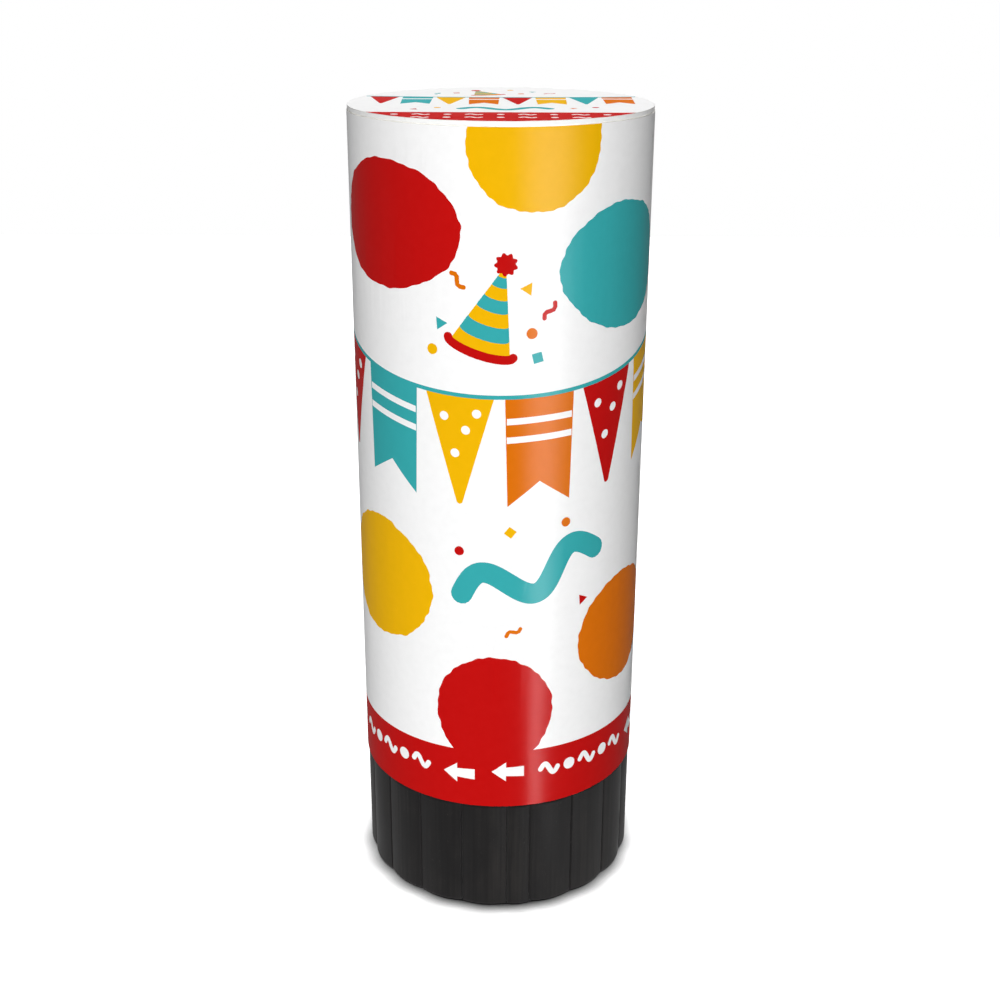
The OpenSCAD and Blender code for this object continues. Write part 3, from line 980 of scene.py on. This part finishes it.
for centre in (0, 2 * swag_half):
    for ink, shape in paper_hat(11.5, 8.2):
        label_shapes.append((ink, placed(shape, centre - 2.6, 87.6, math.radians(-17))))
    label_shapes += scraps([
        (4.2, 89.5, "disc", "orange"), (6.6, 92.4, "slip", "red"), (5.0, 86.2, "square", "teal"),
        (-8.0, 90.6, "three", "teal"), (3.6, 95.4, "three", "yellow"),
        (-9.2, 87.0, "disc", "yellow"), (-5.6, 96.4, "slip", "orange"),
    ], 1.35, centre)
    streamer = ribbon(wavy(20.5, 2.6, 1.5, 72), 3.1)
    label_shapes.append(("teal", placed(streamer, centre + 4.6, 54.8, math.radians(15))))
    label_shapes += scraps([
        (-5.6, 58.6, "disc", "red"), (1.5, 61.6, "square", "yellow"), (9.5, 62.4, "disc", "orange"),
        (12.5, 50.0, "three", "red"), (2.0, 46.4, "slip", "orange"),
    ], 1.25, centre)

arrow = [(-2.4, 0), (-0.3, 1.6), (-0.3, 0.72), (2.35, 0.85), (2.35, -0.85), (-0.3, -0.72), (-0.3, -1.6)]
band_repeats = 4
band_marks = [(-16.0, 23.1, arrow), (3.8, 23.7, arrow)]
for number in range(5):
    mark = round_shape(0.95, 22) if number % 2 else ribbon(wavy(2.7, 0.8, 1, 24), 0.8)
    band_marks.append((20.8 + 9 * number, 23.6, mark))
for repeat in round_steps(band_repeats):
    for turn, up, mark in band_marks:
        across = (math.radians(turn) + repeat + math.pi) % math.tau - math.pi
        label_shapes.append(("white", placed(mark, across * label_r, up)))


def round_the_seam(shapes):
    """The shapes, with those that run over the seam repeated on its other side."""
    full_round = math.tau * label_r
    whole = []
    for ink, shape in shapes:
        whole.append((ink, shape))
        for side in (-1, 1):
            if max(side * x for x, y in shape) > half_round:
                whole.append((ink, placed(shape, -side * full_round, 0)))
    return whole


columns = 128
column_places = [-half_round + 2 * half_round * k / columns for k in range(1, columns)]
guides = [((across, label_bottom), (across, label_top)) for across in column_places]
edge_lift = 0.1
lift_reach = 1.2


def on_tube(across, up, radius):
    """A point of the flat label wrapped round the tube. Beside the seam the paper lifts a little."""
    beside = half_round - abs(across)
    radius += edge_lift * max(0, 1 - beside / lift_reach) ** 2
    angle = across / label_r
    return (radius * math.sin(angle) * MM, -radius * math.cos(angle) * MM, up * MM)


bare_paper = card("bare_paper", (0.78, 0.77, 0.74), (0.88, 0.87, 0.85), 0.006 * MM)
label_border = bar(half_round, label_bottom, label_top)
label = printed_piece("printed_label", *cut_by_ink(label_border, round_the_seam(label_shapes), guides),
                      lambda x, y: on_tube(x, y, label_r), lambda x, y: on_tube(x, y, label_r - label_t),
                      [*varnished_inks, bare_paper])
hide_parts("label")
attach(label, "barrel")


# The stop ring and the wad
# A strip of grey board bent to a ring and glued flush inside the mouth, its ends butted at the back
# and its corners soft. It keeps the plunger in the tube. The wad is cut from the same board.
grey_board = card("grey_board", (0.36, 0.32, 0.27), (0.5, 0.46, 0.4))
ring_low, ring_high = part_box("stop_ring")
ring_outer = ring_high.x
ring_wall = 1.3 * MM
ring_inner = ring_outer - ring_wall
ring_steps = 120
butt_angle = math.pi / 2
butt_depth = 0.3 * MM
butt_gap = 0.36 * MM
butt_half = butt_gap / 2 / ring_inner
butt_end = butt_angle + butt_half
ring_angles = [butt_angle - butt_half, butt_angle, butt_end]
ring_angles += [butt_end + (math.tau - 2 * butt_half) * k / ring_steps for k in range(1, ring_steps)]


def butt_joint(angle):
    """How far the ring's bore opens at the joint of its two ends."""
    return -butt_depth if abs(angle - butt_angle) < butt_half / 2 else 0


ring_outline = eased([
    (ring_outer, ring_low.z, 0, 0.1 * MM), (ring_outer, ring_high.z, 0, 0.15 * MM),
    (ring_inner, ring_high.z, 1, 0.35 * MM), (ring_inner, ring_low.z, 1, 0.2 * MM),
])
stop_ring = laid("board_ring", *turned(ring_outline, ring_angles, butt_joint), [grey_board])
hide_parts("stop_ring")
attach(stop_ring, "barrel")
refinish(grey_board, "wad")


# The confetti
# Tissue rounds packed in seven stacks of four colours, as cut, with a loose handful of curled rounds
# on top. The plunger squeezes them to the mouth, so they flatten towards it.
def tissue(name, colour):
    """Dyed tissue: matt, thin, with crushed fibres and an uneven dye."""
    finish, tree, shader = new_finish(name)
    crush = noise(tree, 0.45 * MM)
    deep = [c * 0.9 for c in colour]
    weak = [min(1, c * 1.07 + 0.008) for c in colour]
    wire(shader, {
        "Base Color": shade(tree, noise(tree, 0.9 * MM, (1, 1, 0.4), 5), (0.3, deep), (0.7, weak)),
        "Roughness": between(tree, crush, 0.75, 0.92),
        "Specular IOR Level": 0.25, "Sheen Weight": 0.12,
    })
    emboss(tree, shader, (crush, 0.015 * MM))
    return finish


colours = {
    "red": sheet_colour(196, 26, 24), "yellow": sheet_colour(243, 186, 22),
    "teal": sheet_colour(54, 164, 170), "orange": sheet_colour(226, 118, 22),
}
stack_places = {"red": (1, 4), "yellow": (2, 5), "teal": (3, 6), "orange": (0,)}
stack_share = [1, 0.98, 0.955, 0.99, 0.965, 0.945, 0.975]
load_low, load_high = (corner.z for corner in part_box("confetti_orange"))
round_r = 5.6 * MM
row_r = 11.72 * MM
fine_depth = 9 * MM
fine_step = 0.36 * MM
coarse_step = 2.4 * MM
askew = 0.14 * MM
most_tip = 0.012
round_corners = 26
loose_start = 4.2 * MM
loose_range = 17.0 * MM


def stack_middle(number):
    """Where a stack stands: one in the middle and six round it."""
    return at(row_r if number else 0, math.tau * number / 6)


def stack_top(number):
    """Height of a stack, below the loose rounds."""
    return load_low + (load_high - load_low) * stack_share[number] - loose_start


def stack(number, dice):
    """Points and faces of one stack of rounds, each lying a little off the one below."""
    x0, y0 = stack_middle(number)
    top = stack_top(number)
    heights = [load_low]
    while heights[-1] < top:
        heights.append(heights[-1] + (coarse_step if top - heights[-1] > fine_depth else fine_step))
    points = []
    for low, high in zip(heights, heights[1:]):
        dx, dy = dice.uniform(-askew, askew), dice.uniform(-askew, askew)
        tip, way = dice.uniform(0, most_tip), dice.uniform(0, math.tau)
        for z in (low, high):
            for angle in round_steps(round_corners):
                x, y = at(round_r - askew, angle)
                lift = tip * round_r * math.cos(angle - way) * min(1, (z - load_low) / fine_depth)
                points.append((x0 + dx + x, y0 + dy + y, z + lift))
    return points, ringed(len(points) // round_corners, round_corners)


bed_cell = 0.5 * MM
bed_margin = 0.3 * MM
bed_floor = load_high - 12 * MM
bed = {}


def bed_under(x0, y0, radius):
    """The cells of the bed under a round, each with its place from the round's middle."""
    reach = math.ceil(radius / bed_cell)
    column, row = round(x0 / bed_cell), round(y0 / bed_cell)
    for i in range(column - reach, column + reach + 1):
        for j in range(row - reach, row + reach + 1):
            x, y = i * bed_cell - x0, j * bed_cell - y0
            if math.hypot(x, y) < radius:
                yield (i, j), x, y


def bent(curl, turn, slope, way):
    """The height of a round over its middle: curled about a line and leaning one way."""
    return lambda x, y: (curl * (x * math.cos(turn) + y * math.sin(turn)) ** 2 / round_r
                         + slope * (x * math.cos(way) + y * math.sin(way)))


sheet_t = 0.06 * MM
sheet_rings = 5
sheet_corners = 28


def loose_round(x0, y0, z0, height):
    """Points and faces of one loose round, thin as tissue."""
    points, faces = [], []
    for side in (1, -1):
        for ring in range(sheet_rings + 1):
            for angle in round_steps(sheet_corners if ring else 1):
                x, y = at((round_r - askew) * ring / sheet_rings, angle)
                points.append((x0 + x, y0 + y, z0 + height(x, y) + side * sheet_t / 2))
    sheet = 1 + sheet_rings * sheet_corners
    rim = sheet - sheet_corners
    for first in (0, sheet):
        for k in range(sheet_corners):
            n = (k + 1) % sheet_corners
            faces.append((first, first + 1 + k, first + 1 + n))
            for a in range(first + 1, first + rim, sheet_corners):
                faces.append((a + k, a + sheet_corners + k, a + sheet_corners + n, a + n))
    for k in range(sheet_corners):
        n = (k + 1) % sheet_corners
        faces.append((rim + k, sheet + rim + k, sheet + rim + n, rim + n))
    return points, faces


for number in range(len(stack_share)):
    for cell, x, y in bed_under(*stack_middle(number), round_r + bed_margin):
        bed[cell] = stack_top(number)
dice = random.Random(21)
loose = {ink: [] for ink in colours}
loose_count = 40
loose_tries = 24
loose_gap = 0.1 * MM
least_curl = 0.03
added_curl = 0.13
most_slope = 0.2
for number in range(loose_count):
    share = number / loose_count
    curl, turn = dice.uniform(-1, 1) * (least_curl + added_curl * share ** 2), dice.uniform(0, math.pi)
    tries = []
    for trial in range(loose_tries):
        reach, side = (loose_range - round_r) * math.sqrt(dice.random()), dice.uniform(0, math.tau)
        x0, y0 = at(reach, side)
        height = bent(curl, turn, dice.uniform(0, most_slope), dice.uniform(0, math.tau))
        rest = max(bed.get(cell, bed_floor) - height(x, y) for cell, x, y in bed_under(x0, y0, round_r))
        tries.append((rest + loose_gap, trial, x0, y0, height))
    z0, trial, x0, y0, height = min(tries)
    for cell, x, y in bed_under(x0, y0, round_r + bed_margin):
        bed[cell] = max(bed.get(cell, bed_floor), z0 + height(x, y))
    loose[list(colours)[number % len(colours)]].append(loose_round(x0, y0, z0, height))
for ink, places in stack_places.items():
    parts = [stack(number, dice) for number in places] + loose[ink]
    dyed = tissue("tissue_" + ink, colours[ink])
    pile = laid("rounds_" + ink, *gathered(*parts), [dyed], smooth_angle=30)
    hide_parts("confetti_" + ink)
    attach(pile, "barrel")
    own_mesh(pile)


# The peel-off disc
# A die-cut disc of white card, printed on top and held to the tube's rim by a thin bead of glue.
# The print has a bunting row, a hat, a streamer and, at the front, a red field with small marks.
glue_low, glue_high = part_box("seal_adhesive")
card_low, card_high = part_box("seal_card")
disc_r = card_high.x
disc_corners = 180
glue_inset = 0.08 * MM
glue_width = 1.1 * MM
glue_slack = 0.15 * MM
glue_outer = disc_r - glue_inset
glue_lip = glue_high.x - glue_width + glue_slack
glue_creep = 0.12 * MM
dried_glue, tree, shader = new_finish("dried_glue")
cloudy = noise(tree, 0.8 * MM)
wire(shader, {
    "Base Color": shade(tree, cloudy, (0.3, (0.82, 0.8, 0.74)), (0.7, (0.9, 0.89, 0.85))),
    "Roughness": between(tree, cloudy, 0.25, 0.45),
})
emboss(tree, shader, (cloudy, 0.03 * MM))


def bead_edge(angle):
    """How far the bead's inner edge creeps in and out round the rim."""
    return glue_creep * (math.sin(7 * angle) + math.sin(17 * angle + 1) + math.sin(29 * angle + 2)) / 3


glue_outline = [(glue_outer, glue_low.z, 0), (glue_outer, glue_high.z, 0),
                (glue_lip, glue_high.z, 1), (glue_lip, glue_low.z, 1)]
glue = laid("glue_bead", *turned(glue_outline, round_steps(disc_corners), bead_edge), [dried_glue])
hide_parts("seal_adhesive")
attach(glue, "seal")

white_card = card("white_card", (0.9, 0.9, 0.89), (0.95, 0.95, 0.94), 0.01 * MM)
card_outline = [(0, card_low.z, 0), (disc_r - 0.1 * MM, card_low.z, 0),
                (disc_r, card_low.z + 0.08 * MM, 0), (disc_r, card_high.z, 0), (0, card_high.z, 0)]
disc_card = laid("disc_card", *capped(card_outline, round_steps(disc_corners)), [white_card],
                 smooth_angle=30)
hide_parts("seal_card")
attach(disc_card, "seal")

print_low, print_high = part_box("seal_print")
disc_border = [at(disc_r / MM, angle) for angle in round_steps(240)]
field_edge = -11.4
field_reach = 30
disc_shapes = [("red", bar(field_reach, field_edge, -field_reach))]
row_inks = ["red", "teal", "yellow", "orange", "red", "yellow", "teal", "orange"]
row_pitch = 4.65
row_half = 18.2
row_top = 7.9
row_sag = 1.2
row_overrun = 0.8
row_string = 0.6


def row_height(across):
    """Place of the printed bunting's string on the disc."""
    return row_top - row_sag * (1 - (across / row_half) ** 2)


for number, ink in enumerate(row_inks):
    across = (number - 3.5) * row_pitch
    flag = pennant(4.3, 8.9, 1.9 if number % 2 else 0)
    disc_shapes.append((ink, placed(flag, across, row_height(across))))
    if number % 2:
        disc_shapes.append(("white", placed(bar(2.1, -3.1, -2.2), across, row_height(across))))
disc_shapes.append(("teal", string(row_height, row_half + row_overrun, row_string, 40)))
for ink, shape in paper_hat(6.0, 4.2):
    disc_shapes.append((ink, placed(shape, -1.8, 10.2, math.radians(18))))
scrap_size = 0.9
disc_shapes += scraps([
    (2.9, 11.6, "disc", "orange"), (4.6, 14.2, "three", "teal"), (-6.4, 12.6, "square", "red"),
    (1.4, 16.6, "disc", "yellow"), (7.0, 12.0, "slip", "red"), (-9.1, 11.6, "slip", "teal"),
], scrap_size)
disc_shapes.append(("teal", placed(ribbon(wavy(11.5, 1.3, 1.5, 72), 1.5), 0.6, -7.2)))
disc_shapes += scraps([
    (-8.4, -6.2, "disc", "yellow"), (9.6, -6.8, "three", "orange"), (-11.4, -8.0, "three", "red"),
    (12.6, -5.6, "disc", "red"),
], scrap_size)
for row, (up, span, marks) in enumerate(((-13.8, 13.6, 9), (-16.9, 10.2, 7))):
    for number in range(marks):
        across = span * (2 * number / (marks - 1) - 1)
        mark = ribbon(wavy(1.9, 0.4, 1, 12), 0.5) if (number + row) % 2 else round_shape(0.5, 16)
        disc_shapes.append(("white", placed(mark, across, up)))
matt_inks = [printed("matt_" + ink, colour) for ink, colour in ink_colours.items()]
disc_print = printed_piece("disc_print", *cut_by_ink(disc_border, disc_shapes),
                           lambda x, y: (x * MM, y * MM, print_high.z),
                           lambda x, y: (x * MM, y * MM, print_low.z), [*matt_inks, bare_paper])
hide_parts("seal_print")
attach(disc_print, "seal")
